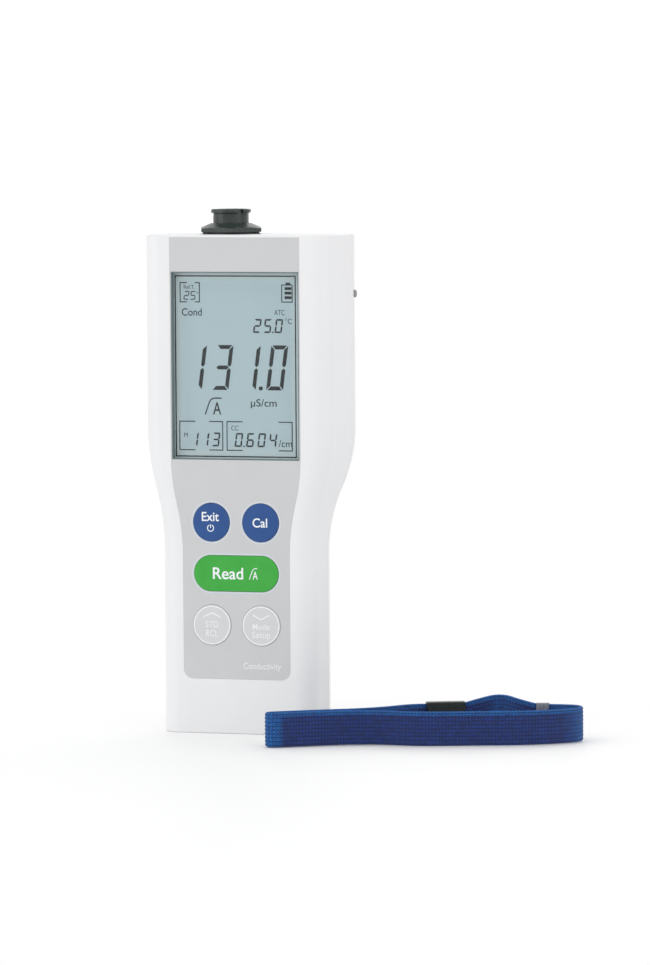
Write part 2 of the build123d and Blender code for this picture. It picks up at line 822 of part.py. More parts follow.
with BuildPart() as door_inserts:
    for x, z in door_screws:
        seat = surface_depth(z)
        rod(x, z, 2.0, seat - 8.4, seat - 3.4)
        rod(x, z, 1.25, seat - 9, seat - 3, mode=Mode.SUBTRACT)
save(door_inserts, "door_inserts")


# ---- plugs of the clip sockets

for side, label in ((-1, "left_clip_plug"), (1, "right_clip_plug")):
    with BuildPart() as plug:
        with Locations(Location((side * 40.5, front_y + clip_depth, clip_z), (0, 90, 0))):
            Cylinder(clip_bore - 0.08, 5.6)
        fillet(plug.edges().filter_by(GeomType.CIRCLE), 0.4)
    save(plug, label)


# ---- strap: a tape loop on edge, a slider, a crimp and a thin tether

print("strap")


def corner_radii(points, label):
    # Each arc is as large as its two runs allow.
    radii = []
    for before, here, after in zip(points, points[1:], points[2:]):
        first = Vector(*here) - Vector(*before)
        second = Vector(*after) - Vector(*here)
        half_turn = math.radians(first.get_angle(second)) / 2
        radii.append(0.45 * min(first.length, second.length) / math.tan(half_turn))
    print(label, "smallest radii", [round(r, 1) for r in sorted(radii)[:4]])
    return radii


def make_tape(points, label):
    with BuildPart() as tape:
        with BuildSketch(Plane.XY.offset(tape_floor)):
            with BuildLine():
                route = FilletPolyline(*points, radius=corner_radii(points, label))
            trace(route, tape_thickness)
        extrude(amount=tape_width)
    expected = route.length * tape_width * tape_thickness
    print(label, "length", round(route.length, 1),
          "volume ratio", round(tape.part.volume / expected, 3))
    return tape


def local_plane(centre, turn):
    return Plane(origin=(centre[0], centre[1], 0)).rotated((0, 0, turn))


strap_tape = make_tape(strap_route, "strap_tape")
save(strap_tape, "strap_tape")
strap_link = make_tape(link_route, "strap_link")
save(strap_link, "strap_link")

with BuildPart() as strap_tether:
    with BuildLine():
        tether = FilletPolyline(*tether_route, radius=corner_radii(tether_route, "strap_tether"))
    with BuildSketch(Plane(origin=tether @ 0, z_dir=tether % 0)):
        Circle(tether_radius)
    sweep()
section = math.pi * tether_radius ** 2
print("strap_tether length", round(tether.length, 1), "volume ratio",
      round(strap_tether.part.volume / (section * tether.length), 3))
save(strap_tether, "strap_tether")

clip_plane = local_plane(clip_centre, clip_turn)
with BuildPart(clip_plane) as strap_clip:
    with BuildSketch(clip_plane.offset(tape_floor)):
        RectangleRounded(clip_length, clip_thickness, 0.8)
    extrude(amount=clip_height)
    fillet(strap_clip.faces().sort_by(Axis.Z)[-1].edges(), 0.5)
    with Locations((lug_middle, (clip_thickness + lug_size[1]) / 2 - 0.4, 2.9)):
        Box(*lug_size)
save(strap_clip, "strap_clip")

with BuildPart() as strap_crimp:
    with BuildSketch(local_plane(crimp_centre, crimp_turn).offset(tape_floor)):
        RectangleRounded(crimp_length, 3.4, 0.5)
    extrude(amount=tape_width + 0.2)
save(strap_crimp, "strap_crimp")
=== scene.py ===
import math

import bmesh
import bpy
import numpy as np
from mathutils import Matrix, Vector


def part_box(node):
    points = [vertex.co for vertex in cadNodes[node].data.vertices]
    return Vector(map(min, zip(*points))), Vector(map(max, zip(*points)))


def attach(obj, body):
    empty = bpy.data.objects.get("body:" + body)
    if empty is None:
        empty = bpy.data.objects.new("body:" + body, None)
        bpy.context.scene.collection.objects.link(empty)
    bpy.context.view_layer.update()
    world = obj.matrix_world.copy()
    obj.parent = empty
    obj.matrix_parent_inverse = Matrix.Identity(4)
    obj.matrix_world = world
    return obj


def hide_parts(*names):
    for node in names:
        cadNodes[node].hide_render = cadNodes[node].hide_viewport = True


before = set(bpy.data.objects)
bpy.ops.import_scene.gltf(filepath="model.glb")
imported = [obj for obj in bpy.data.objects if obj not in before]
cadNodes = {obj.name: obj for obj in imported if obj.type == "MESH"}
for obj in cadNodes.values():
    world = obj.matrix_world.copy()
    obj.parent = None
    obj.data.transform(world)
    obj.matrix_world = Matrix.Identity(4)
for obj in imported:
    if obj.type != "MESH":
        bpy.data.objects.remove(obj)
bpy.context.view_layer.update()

# Handheld conductivity meter with a wrist strap. The housing, keys, socket and fittings are the
# frame's own parts and get finishes here; the strap, the tether and all print are made here.

mm = 0.001
scene = bpy.context.scene
scene.view_settings.view_transform = "Standard"

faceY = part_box("front_overlay")[0].y                     # front of the label film
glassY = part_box("lcd_front_glass")[0].y                  # front of the display glass


# ---- building blocks for materials

def addNode(tree, kind, values=(), **settings):
    node = tree.nodes.new(kind)
    for key, value in settings.items():
        setattr(node, key, value)
    for socket, value in dict(values).items():
        node.inputs[socket].default_value = value
    return node


def maths(tree, operation, first, second=None, clamp=False):
    node = addNode(tree, "ShaderNodeMath", operation=operation, use_clamp=clamp)
    for socket, value in zip(node.inputs, (first, second)):
        if value is None:
            continue
        if isinstance(value, (int, float)):
            socket.default_value = value
        else:
            tree.links.new(value, socket)
    return node.outputs[0]


def mixColour(tree, factor, first, second):
    node = addNode(tree, "ShaderNodeMix", data_type="RGBA")
    for socket, value in ((node.inputs[0], factor), (node.inputs[6], first), (node.inputs[7], second)):
        if isinstance(value, (int, float)):
            socket.default_value = value
        elif isinstance(value, tuple):
            socket.default_value = (*value, 1.0)
        else:
            tree.links.new(value, socket)
    return node.outputs[2]


def mapRange(tree, value, low, high, toLow=0.0, toHigh=1.0):
    node = addNode(tree, "ShaderNodeMapRange", interpolation_type="SMOOTHSTEP",
                   values={1: low, 2: high, 3: toLow, 4: toHigh})
    tree.links.new(value, node.inputs[0])
    return node.outputs[0]


def newGroup(name, inputs, outputs):
    group = bpy.data.node_groups.new(name, "ShaderNodeTree")
    kinds = {"float": "NodeSocketFloat", "colour": "NodeSocketColor", "vector": "NodeSocketVector"}
    for label, kind in inputs:
        group.interface.new_socket(label, in_out="INPUT", socket_type=kinds[kind])
    for label, kind in outputs:
        group.interface.new_socket(label, in_out="OUTPUT", socket_type=kinds[kind])
    return group, group.nodes.new("NodeGroupInput"), group.nodes.new("NodeGroupOutput")


def noise(tree, vector, scale, detail=2.0, roughness=0.5):
    node = addNode(tree, "ShaderNodeTexNoise", values={"Detail": detail, "Roughness": roughness})
    tree.links.new(vector, node.inputs["Vector"])
    if isinstance(scale, (int, float)):
        node.inputs["Scale"].default_value = scale
    else:
        tree.links.new(scale, node.inputs["Scale"])
    return node.outputs["Fac"]


def makeMouldedFinish():
    # Cloudy tone, uneven gloss and a fine grain, as on anything moulded, printed or cast.
    tree, given, result = newGroup(
        "mouldedFinish",
        [("Vector", "vector"), ("Base", "colour"), ("Shade", "colour"), ("Cloud Scale", "float"),
         ("Gloss", "float"), ("Gloss Spread", "float"), ("Grain Scale", "float")],
        [("Colour", "colour"), ("Roughness", "float"), ("Height", "float")])
    vector = given.outputs["Vector"]
    cloud = noise(tree, vector, given.outputs["Cloud Scale"], 4.0, 0.55)
    tone = mixColour(tree, mapRange(tree, cloud, 0.32, 0.68), given.outputs["Base"],
                     given.outputs["Shade"])
    smear = noise(tree, vector, maths(tree, "MULTIPLY", given.outputs["Cloud Scale"], 7.0), 3.0)
    spread = maths(tree, "MULTIPLY", maths(tree, "SUBTRACT", smear, 0.5), given.outputs["Gloss Spread"])
    grain = noise(tree, vector, given.outputs["Grain Scale"], 3.0, 0.6)
    tree.links.new(tone, result.inputs["Colour"])
    tree.links.new(maths(tree, "ADD", given.outputs["Gloss"], spread, clamp=True),
                   result.inputs["Roughness"])
    tree.links.new(grain, result.inputs["Height"])
    return tree


def makeDustFilm():
    # Loose dust that settles on what faces up.
    tree, given, result = newGroup(
        "dustFilm", [("Vector", "vector"), ("Normal", "vector"), ("Amount", "float")],
        [("Mask", "float")])
    split = addNode(tree, "ShaderNodeSeparateXYZ")
    tree.links.new(given.outputs["Normal"], split.inputs[0])
    upward = mapRange(tree, split.outputs["Z"], 0.2, 1.0, 0.15, 1.0)
    specks = mapRange(tree, noise(tree, given.outputs["Vector"], 900.0, 4.0, 0.7), 0.5, 0.72)
    mask = maths(tree, "MULTIPLY", maths(tree, "MULTIPLY", upward, specks), given.outputs["Amount"])
    tree.links.new(mask, result.inputs["Mask"])
    return tree


def makeFineScratches():
    # Hairline marks along one direction, for rolled, turned or brushed metal.
    tree, given, result = newGroup(
        "fineScratches", [("Vector", "vector"), ("Density", "float")],
        [("Height", "float"), ("Mask", "float")])
    stretch = addNode(tree, "ShaderNodeMapping", values={"Scale": (1.0, 1.0, 0.03)})
    tree.links.new(given.outputs["Vector"], stretch.inputs["Vector"])
    lines = noise(tree, stretch.outputs[0], given.outputs["Density"], 4.0, 0.65)
    tree.links.new(lines, result.inputs["Height"])
    tree.links.new(mapRange(tree, lines, 0.55, 0.75), result.inputs["Mask"])
    return tree


def makeKnit():
    # Wales along the tape, each a column of V-shaped stitches.
    tree, given, result = newGroup(
        "knit", [("Run", "float"), ("Across", "float"), ("Wale Width", "float"),
                 ("Stitch Pitch", "float")],
        [("Height", "float"), ("Painted Gap Shade", "float")])
    wale = maths(tree, "FRACT", maths(tree, "DIVIDE", given.outputs["Across"],
                                      given.outputs["Wale Width"]))
    fromMiddle = maths(tree, "ABSOLUTE", maths(tree, "SUBTRACT", maths(tree, "MULTIPLY", wale, 2.0), 1.0))
    lean = maths(tree, "MULTIPLY", fromMiddle, -0.62)
    stitch = maths(tree, "FRACT", maths(tree, "ADD", maths(tree, "DIVIDE", given.outputs["Run"],
                                                          given.outputs["Stitch Pitch"]), lean))
    yarn = maths(tree, "SINE", maths(tree, "MULTIPLY", stitch, math.pi))
    valley = maths(tree, "SUBTRACT", 1.0, maths(tree, "POWER", fromMiddle, 4.0))
    height = maths(tree, "MULTIPLY", maths(tree, "POWER", yarn, 0.6), valley)
    tree.links.new(height, result.inputs["Height"])
    # The gap output is painted shade: it darkens the valleys between the yarns.
    tree.links.new(mapRange(tree, height, 0.55, 0.1), result.inputs["Painted Gap Shade"])
    return tree


mouldedFinish = makeMouldedFinish()
dustFilm = makeDustFilm()
fineScratches = makeFineScratches()
knit = makeKnit()
print("shader groups ready")


def newMaterial(name, **fixed):
    material = bpy.data.materials.new(name)
    material.use_nodes = True
    tree = material.node_tree
    tree.nodes.clear()
    output = tree.nodes.new("ShaderNodeOutputMaterial")
    shader = tree.nodes.new("ShaderNodeBsdfPrincipled")
    for socket, value in fixed.items():
        shader.inputs[socket.replace("_", " ")].default_value = value
    tree.links.new(shader.outputs[0], output.inputs["Surface"])
    return material, tree, shader


def addBump(tree, shader, height, distance):
    bump = addNode(tree, "ShaderNodeBump", values={"Strength": 1.0, "Distance": distance})
    tree.links.new(height, bump.inputs["Height"])
    tree.links.new(bump.outputs[0], shader.inputs["Normal"])


def finish(name, base, shade, gloss, spread=0.1, cloud=30.0, grain=3000.0, bump=0.02, dust=0.0,
           scratches=0.0, **fixed):
    material, tree, shader = newMaterial(name, **fixed)
    place = tree.nodes.new("ShaderNodeTexCoord").outputs["Object"]
    surface = addNode(tree, "ShaderNodeGroup", node_tree=mouldedFinish)
    for socket, value in (("Base", (*base, 1.0)), ("Shade", (*shade, 1.0)), ("Cloud Scale", cloud),
                          ("Gloss", gloss), ("Gloss Spread", spread), ("Grain Scale", grain)):
        surface.inputs[socket].default_value = value
    tree.links.new(place, surface.inputs["Vector"])
    colour, height = surface.outputs["Colour"], surface.outputs["Height"]
    roughness = surface.outputs["Roughness"]
    if dust:
        film = addNode(tree, "ShaderNodeGroup", values={"Amount": dust}, node_tree=dustFilm)
        tree.links.new(place, film.inputs["Vector"])
        tree.links.new(tree.nodes.new("ShaderNodeNewGeometry").outputs["Normal"], film.inputs["Normal"])
        colour = mixColour(tree, film.outputs["Mask"], colour, (0.62, 0.62, 0.60))
        roughness = maths(tree, "ADD", roughness, film.outputs["Mask"], clamp=True)
    if scratches:
        marks = addNode(tree, "ShaderNodeGroup", values={"Density": scratches}, node_tree=fineScratches)
        tree.links.new(place, marks.inputs["Vector"])
        height = maths(tree, "ADD", height, marks.outputs["Height"])
        roughness = maths(tree, "ADD", roughness,
                          maths(tree, "MULTIPLY", marks.outputs["Mask"], 0.15), clamp=True)
    tree.links.new(colour, shader.inputs["Base Color"])
    tree.links.new(roughness, shader.inputs["Roughness"])
    addBump(tree, shader, height, bump * mm)
    return material


def dress(material, *names):
    for name in names:
        for place in cadNodes[name].material_slots:
            place.material = material


# ---- finishes of the housing and its fittings

housingLook = {"base": (0.790, 0.793, 0.802), "shade": (0.768, 0.772, 0.782), "gloss": 0.34,
               "spread": 0.10, "cloud": 22.0, "grain": 2600.0, "bump": 0.012, "dust": 0.05}
labelLook = {"base": (0.565, 0.570, 0.577), "shade": (0.550, 0.555, 0.564), "gloss": 0.52,
             "spread": 0.10, "cloud": 45.0, "grain": 5200.0, "bump": 0.010}
socketLook = {"base": (0.016, 0.026, 0.023), "shade": (0.028, 0.040, 0.036), "gloss": 0.30,
              "spread": 0.2, "cloud": 160.0, "grain": 4200.0, "bump": 0.02, "dust": 0.12}

dress(finish("housing_white", **housingLook), "front_cover", "rear_cover", "battery_door")
dress(finish("label_film", **labelLook), "front_overlay")
dress(finish("key_blue", (0.004, 0.056, 0.225), (0.008, 0.068, 0.255), 0.36, cloud=90.0, grain=4000.0,
             bump=0.008), "exit_key", "cal_key")
dress(finish("key_green", (0.024, 0.345, 0.028), (0.034, 0.375, 0.038), 0.38, cloud=90.0, grain=4000.0,
             bump=0.008), "read_key")
dress(finish("key_grey", (0.618, 0.622, 0.629), (0.604, 0.609, 0.616), 0.48, cloud=90.0, grain=4000.0,
             bump=0.008), "up_key", "down_key")
dress(finish("socket_plastic", **socketLook), "socket_shell", "socket_nut", "socket_insert")
dress(finish("seal_rubber", (0.020, 0.021, 0.022), (0.035, 0.036, 0.037), 0.72, grain=1500.0, bump=0.04,
             dust=0.15), "housing_gasket", "socket_gasket", "door_seal")
dress(finish("plug_rubber", (0.24, 0.245, 0.245), (0.28, 0.285, 0.285), 0.62, grain=1800.0, bump=0.03),
      "left_clip_plug", "right_clip_plug")
# Painted shade: the dark liner on the window's walls stands in for the shadow the recess casts on the
# display.
dress(finish("liner_painted_shade", (0.130, 0.175, 0.185), (0.155, 0.205, 0.215), 0.6, grain=2500.0),
      "window_liner")
dress(finish("frame_plastic", (0.55, 0.56, 0.56), (0.50, 0.51, 0.51), 0.5), "lcd_frame")
dress(finish("zebra_rubber", (0.05, 0.05, 0.055), (0.16, 0.16, 0.16), 0.7, cloud=2500.0), "zebra_strips")
dress(finish("chip_black", (0.012, 0.012, 0.013), (0.022, 0.022, 0.024), 0.45, grain=5000.0, bump=0.02),
      "controller_chip", "input_amplifier", "buzzer", "ribbon_header")
dress(finish("capacitor_sleeve", (0.02, 0.02, 0.10), (0.03, 0.03, 0.14), 0.3), "capacitors")
dress(finish("ribbon_cable", (0.52, 0.46, 0.30), (0.42, 0.36, 0.22), 0.5, cloud=900.0), "socket_ribbon")
dress(finish("dome_film", (0.78, 0.79, 0.78), (0.70, 0.71, 0.70), 0.3), "dome_sheet")
dress(finish("pad_foam", (0.03, 0.03, 0.03), (0.06, 0.06, 0.06), 0.95, grain=900.0, bump=0.2),
      "battery_pad")
dress(finish("cell_sleeve", (0.04, 0.12, 0.36), (0.05, 0.15, 0.42), 0.28, cloud=120.0),
      "battery_cell_1", "battery_cell_2", "battery_cell_3", "battery_cell_4")
dress(finish("tinned_steel", (0.62, 0.62, 0.60), (0.52, 0.52, 0.50), 0.32, spread=0.2, cloud=200.0,
             scratches=900.0, Metallic=1.0), "input_shield", "clock_crystal", "contact_plates")
dress(finish("spring_steel", (0.60, 0.60, 0.60), (0.48, 0.48, 0.48), 0.28, scratches=1500.0,
             Metallic=1.0), "snap_domes", "contact_springs")
dress(finish("screw_zinc", (0.50, 0.50, 0.50), (0.38, 0.39, 0.40), 0.34, spread=0.25, cloud=500.0,
             scratches=1800.0, dust=0.1, Metallic=1.0),
      "case_screws", "board_screws", "door_screws", "strap_pin")
dress(finish("turned_brass", (0.62, 0.42, 0.14), (0.52, 0.34, 0.11), 0.3, cloud=300.0, scratches=1500.0,
             Metallic=1.0), "case_inserts", "door_inserts", "battery_posts")
dress(finish("contact_gold", (0.83, 0.60, 0.21), (0.76, 0.53, 0.17), 0.2, cloud=300.0, Metallic=1.0),
      "socket_contacts")
dress(finish("type_plate", (0.60, 0.61, 0.62), (0.54, 0.55, 0.56), 0.36, cloud=120.0, scratches=1400.0,
             Metallic=0.85), "rear_label")
dress(finish("clip_black", (0.006, 0.011, 0.010), (0.012, 0.018, 0.017), 0.34, grain=3500.0, bump=0.02,
             dust=0.12), "strap_clip")
dress(finish("crimp_steel", (0.60, 0.61, 0.61), (0.46, 0.47, 0.48), 0.30, spread=0.25, cloud=260.0,
             scratches=1200.0, Metallic=1.0), "strap_crimp")
dress(finish("reflector_film", (0.42, 0.53, 0.54), (0.36, 0.47, 0.48), 0.5), "lcd_reflector",
      "lcd_rear_glass")


def makeBoard():
    # Solder mask with copper tracks showing through it.
    material, tree, shader = newMaterial("circuit_board")
    place = tree.nodes.new("ShaderNodeTexCoord").outputs["Object"]
    tracks = addNode(tree, "ShaderNodeTexVoronoi", values={"Scale": 420.0, "Randomness": 0.85},
                     distance="MANHATTAN", feature="F1")
    tree.links.new(place, tracks.inputs["Vector"])
    copper = mapRange(tree, tracks.outputs["Distance"], 0.55, 0.6)
    colour = mixColour(tree, copper, (0.010, 0.115, 0.040), (0.030, 0.225, 0.085))
    tree.links.new(colour, shader.inputs["Base Color"])
    tree.links.new(mapRange(tree, noise(tree, place, 300.0), 0.3, 0.7, 0.25, 0.42),
                   shader.inputs["Roughness"])
    addBump(tree, shader, copper, 0.03 * mm)
    return material


def makeDisplayGlass():
    # Grey-green display, a little lighter toward its edges and at its foot.
    material, tree, shader = newMaterial("display_cell")
    place = tree.nodes.new("ShaderNodeTexCoord").outputs["Object"]
    low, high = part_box("lcd_front_glass")
    centre = addNode(tree, "ShaderNodeMapping", values={"Location": (0.0, 0.0, -(low.z + high.z) / 2)})
    tree.links.new(place, centre.inputs["Vector"])
    split = addNode(tree, "ShaderNodeSeparateXYZ")
    tree.links.new(centre.outputs[0], split.inputs[0])
    sideways = mapRange(tree, maths(tree, "ABSOLUTE", split.outputs["X"]), 0.021, 0.0272)
    upright = mapRange(tree, maths(tree, "ABSOLUTE", split.outputs["Z"]), 0.031, 0.0378)
    edge = maths(tree, "MAXIMUM", sideways, upright)
    cloud = mapRange(tree, noise(tree, place, 60.0), 0.35, 0.65, 0.0, 0.25)
    middle = mixColour(tree, cloud, (0.350, 0.462, 0.498), (0.372, 0.486, 0.518))
    colour = mixColour(tree, edge, middle, (0.500, 0.600, 0.615))
    tree.links.new(colour, shader.inputs["Base Color"])
    tree.links.new(mapRange(tree, noise(tree, place, 2500.0), 0.3, 0.7, 0.42, 0.55),
                   shader.inputs["Roughness"])
    addBump(tree, shader, noise(tree, place, 6000.0), 0.004 * mm)
    return material


def makeWindow():
    # Clear window: almost nothing but a faint haze of fine wiping marks.
    material, tree, shader = newMaterial("window_clear", Metallic=0.0, IOR=1.49)
    place = tree.nodes.new("ShaderNodeTexCoord").outputs["Object"]
    marks = addNode(tree, "ShaderNodeGroup", values={"Density": 700.0}, node_tree=fineScratches)
    tree.links.new(place, marks.inputs["Vector"])
    tree.links.new(maths(tree, "ADD", 0.008, maths(tree, "MULTIPLY", marks.outputs["Mask"], 0.02)),
                   shader.inputs["Alpha"])
    tree.links.new(maths(tree, "ADD", 0.06, maths(tree, "MULTIPLY", marks.outputs["Mask"], 0.2)),
                   shader.inputs["Roughness"])
    tree.links.new(mixColour(tree, marks.outputs["Mask"], (0.85, 0.90, 0.90), (0.95, 0.97, 0.97)),
                   shader.inputs["Base Color"])
    return material


dress(makeBoard(), "main_board", "socket_board")
dress(makeDisplayGlass(), "lcd_front_glass")
dress(makeWindow(), "display_window")
displayInk = finish("display_ink", (0.006, 0.010, 0.012), (0.012, 0.017, 0.019), 0.55, cloud=400.0)
whitePrint = finish("white_print", (0.86, 0.88, 0.90), (0.80, 0.82, 0.84), 0.5, cloud=500.0)
palePrint = finish("pale_print", (0.80, 0.805, 0.81), (0.77, 0.775, 0.78), 0.5, cloud=500.0)
haloPrint = finish("halo_print", (0.62, 0.68, 0.74), (0.60, 0.66, 0.72), 0.5, cloud=500.0)
print("finishes on", len(cadNodes), "parts")


# ---- flat print: strokes, arcs, digits and words on planes that look toward -Y

def stroke(points, width, closed=False):
    # A line of even width with mitred corners, as quads.
    line = [Vector(p) for p in points]
    count = len(line)
    left, right = [], []
    for i, here in enumerate(line):
        before = line[i - 1] if (i or closed) else None
        after = line[(i + 1) % count] if (i < count - 1 or closed) else None
        into = (here - before).normalized() if before is not None else None
        out = (after - here).normalized() if after is not None else into
        into = into if into is not None else out
        mitre = Vector((-(into.y + out.y), into.x + out.x)).normalized()
        reach = width / 2 / max(0.3, mitre.dot(Vector((-out.y, out.x))))
        left.append(here + mitre * reach)
        right.append(here - mitre * reach)
    pairs = range(count if closed else count - 1)
    return [[left[i], left[(i + 1) % count], right[(i + 1) % count], right[i]] for i in pairs]


def arc(centre, radius, start, end, steps):
    angles = [math.radians(start + (end - start) * i / steps) for i in range(steps + 1)]
    return [(centre[0] + radius * math.cos(a), centre[1] + radius * math.sin(a)) for a in angles]


def ring(centre, radius, width):
    return stroke(arc(centre, radius, 0, 360, 72)[:-1], width, closed=True)


def rectangle(low, high):
    return [[Vector(low), Vector((high[0], low[1])), Vector(high), Vector((low[0], high[1]))]]


digitBars = {"0": "abcdef", "1": "bc", "2": "abged", "3": "abgcd", "4": "fgbc", "5": "afgcd",
             "6": "afgedc"}


def digit(character, corner, width, height, bar, slant, gap):
    # Seven bars with pointed ends, leaning to the right.
    middle = height / 2
    inset = bar / 2
    polygons = []
    for name in digitBars[character]:
        if name in "bcef":
            x = inset if name in "ef" else width - inset
            outer = -inset if name in "ef" else inset
        if name in "bf":
            low, high = middle + gap, height - inset - gap
            polygon = [(x - outer, low + inset), (x, low), (x + outer, low + inset),
                       (x + outer, high + inset), (x - outer, high - inset)]
        elif name in "ce":
            low, high = inset + gap, middle - gap
            polygon = [(x - outer, low + inset), (x + outer, low - inset), (x + outer, high - inset),
                       (x, high), (x - outer, high - inset)]
        elif name == "g":
            polygon = [(inset + gap, middle), (bar + gap, middle + inset),
                       (width - bar - gap, middle + inset), (width - inset - gap, middle),
                       (width - bar - gap, middle - inset), (bar + gap, middle - inset)]
        else:
            edge, inner = (height, height - bar) if name == "a" else (0, bar)
            polygon = [(gap + 0.2 * bar, edge), (width - gap - 0.2 * bar, edge),
                       (width - bar - gap, inner), (bar + gap, inner)]
        polygons.append([Vector((corner[0] + x + slant * z, corner[1] + z)) for x, z in polygon])
    return polygons


def wordMesh(text, weight):
    curve = bpy.data.curves.new("word", "FONT")
    curve.body = text
    curve.fill_mode = "FRONT"
    curve.offset = weight
    holder = bpy.data.objects.new("word", curve)
    scene.collection.objects.link(holder)
    mesh = bpy.data.meshes.new_from_object(holder)
    bpy.data.objects.remove(holder)
    bpy.data.curves.remove(curve)
    return mesh


capMesh = wordMesh("H", 0.0)
capHeight = max(v.co.y for v in capMesh.vertices)
bpy.data.meshes.remove(capMesh)


def addWord(flat, text, span, baseline, cap, weight=0.0):
    # The word fills its span and has its cap height, both in millimetres.
    mesh = wordMesh(text, weight)
    low = min(v.co.x for v in mesh.vertices)
    high = max(v.co.x for v in mesh.vertices)
    across = (span[1] - span[0]) / (high - low)
    tall = cap / capHeight
    for v in mesh.vertices:
        v.co = Vector((span[0] + (v.co.x - low) * across, baseline + v.co.y * tall, 0.0))
    flat.from_mesh(mesh)
    bpy.data.meshes.remove(mesh)


def printPiece(name, shapes, words, plane, material, body, thickness=0.02):
    # Print stands proud of its plane by its thickness.
    flat = bmesh.new()
    for polygon in shapes:
        flat.faces.new([flat.verts.new((p.x, p.y, 0.0)) for p in polygon])
    for word in words:
        addWord(flat, **word)
    bmesh.ops.remove_doubles(flat, verts=flat.verts, dist=0.0005)
    bmesh.ops.recalc_face_normals(flat, faces=flat.faces)
    mesh = bpy.data.meshes.new(name)
    flat.to_mesh(mesh)
    flat.free()
    holder = bpy.data.objects.new(name + "_flat", mesh)
    scene.collection.objects.link(holder)
    thicken = holder.modifiers.new("thicken", "SOLIDIFY")
    thicken.thickness = thickness
    thicken.offset = 0.0
    solid = bpy.data.meshes.new_from_object(holder.evaluated_get(bpy.context.evaluated_depsgraph_get()))
    bpy.data.objects.remove(holder)
    stand = Matrix(((mm, 0, 0, 0), (0, 0, -mm, plane - thickness * mm / 2), (0, mm, 0, 0), (0, 0, 0, 1)))
    solid.transform(stand)
    tidy = bmesh.new()
    tidy.from_mesh(solid)
    bmesh.ops.recalc_face_normals(tidy, faces=tidy.faces)
    tidy.to_mesh(solid)
    tidy.free()
    solid.name = name
    solid.shade_flat()
    solid.materials.clear()
    solid.materials.append(material)
    piece = bpy.data.objects.new(name, solid)
    scene.collection.objects.link(piece)
    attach(piece, body)
    return piece


# ---- what the display shows, millimetres from the display's middle line and the meter's foot

display = {
    "middle": -0.45, "frame": (25.5, 111.2, 183.5), "frameLine": 0.5, "thinLine": 0.42,
    "slant": 0.133, "mainDigits": ((-22.1, "1"), (-10.8, "3"), (0.8, "1"), (12.4, "0")),
    "mainSize": (7.2, 18.0), "mainBar": 1.6, "mainFoot": 137.9, "smallSize": (3.1, 5.6),
    "smallBar": 0.68, "battery": (19.8, 24.2, 173.2, 180.0),
}


def bracket(low, high, arm, width):
    # Two facing brackets round a reading.
    left = [(low[0] + arm, low[1]), (low[0], low[1]), (low[0], high[1]), (low[0] + arm, high[1])]
    right = [(high[0] - arm, low[1]), (high[0], low[1]), (high[0], high[1]), (high[0] - arm, high[1])]
    return stroke(left, width) + stroke(right, width)


def makeDisplayMarks():
    half, low, high = display["frame"]
    line, thin, slant = display["frameLine"], display["thinLine"], display["slant"]
    shapes = stroke([(-half, low), (half, low), (half, high), (-half, high)], line, closed=True)
    width, tall = display["mainSize"]
    foot = display["mainFoot"]
    for x, character in display["mainDigits"]:
        shapes += digit(character, (x, foot), width, tall, display["mainBar"], slant, 0.2)
    shapes += rectangle((9.4, foot), (11.0, foot + 1.45))
    width, tall = display["smallSize"]
    rows = (((7.0, "2"), (11.4, "5"), (16.1, "0")), 160.8), \
        (((-20.1, "1"), (-15.6, "1"), (-10.9, "3")), 115.2), \
        (((-1.2, "0"), (3.7, "6"), (8.5, "0"), (13.3, "4")), 115.1)
    for characters, base in rows:
        for x, character in characters:
            shapes += digit(character, (x, base), width, tall, display["smallBar"], slant, 0.06)
    for x, base in ((15.2, 160.8), (2.6, 115.1)):
        shapes += rectangle((x, base), (x + 0.6, base + 0.55))
    for x, character in ((-22.5, "2"), (-19.7, "5")):
        shapes += digit(character, (x, 173.95), 2.2, 3.5, 0.4, slant, 0.05)
    shapes += bracket((-23.4, 173.1), (-15.2, 180.8), 2.4, thin)
    shapes += bracket((-24.0, 113.75), (-5.7, 125.2), 6.2, thin)
    shapes += bracket((-3.85, 113.75), (23.8, 125.2), 6.2, thin)
    left, right, base, top = display["battery"]
    shapes += stroke([(left, base), (right, base), (right, top), (left, top)], 0.4, closed=True)
    shapes += rectangle((left + 1.2, top + 0.2), (right - 1.2, top + 0.95))
    for level in (174.4, 176.2, 178.0):
        shapes += rectangle((left + 0.75, level), (right - 0.75, level + 1.15))
    shapes += stroke([(-13.5, 128.0), (-11.3, 132.9), (-10.7, 133.9), (-9.7, 134.5), (-8.7, 134.6),
                      (-6.5, 134.6)], 0.5)
    words = [
        {"text": "Ref.T.", "span": (-22.3, -17.6), "baseline": 178.3, "cap": 1.5},
        {"text": "°", "span": (-16.9, -16.2), "baseline": 175.2, "cap": 1.8},
        {"text": "Cond", "span": (-23.2, -14.7), "baseline": 167.6, "cap": 2.9, "weight": 0.006},
        {"text": "ATC", "span": (16.1, 20.5), "baseline": 168.0, "cap": 2.05},
        {"text": "°C", "span": (20.7, 23.6), "baseline": 164.5, "cap": 2.0},
        {"text": "A", "span": (-10.2, -6.7), "baseline": 128.05, "cap": 4.9, "weight": 0.008},
        {"text": "µS/cm", "span": (5.9, 16.9), "baseline": 131.4, "cap": 2.9, "weight": 0.006},
        {"text": "M", "span": (-22.6, -21.1), "baseline": 118.8, "cap": 1.75},
        {"text": "CC", "span": (-2.5, 0.6), "baseline": 121.7, "cap": 1.9},
        {"text": "/cm", "span": (17.6, 23.3), "baseline": 115.3, "cap": 2.7},
    ]
    middle = display["middle"]
    for polygon in shapes:
        for p in polygon:
            p.x += middle
    for word in words:
        word["span"] = tuple(x + middle for x in word["span"])
    printPiece("display_marks", shapes, words, glassY, displayInk, "housing", 0.02)


makeDisplayMarks()
print("display drawn")


# ---- print on the keys and the label

def keyFace(node):
    low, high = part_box(node)
    return (low.x + high.x) / 2 / mm, (low.z + high.z) / 2 / mm, low.y


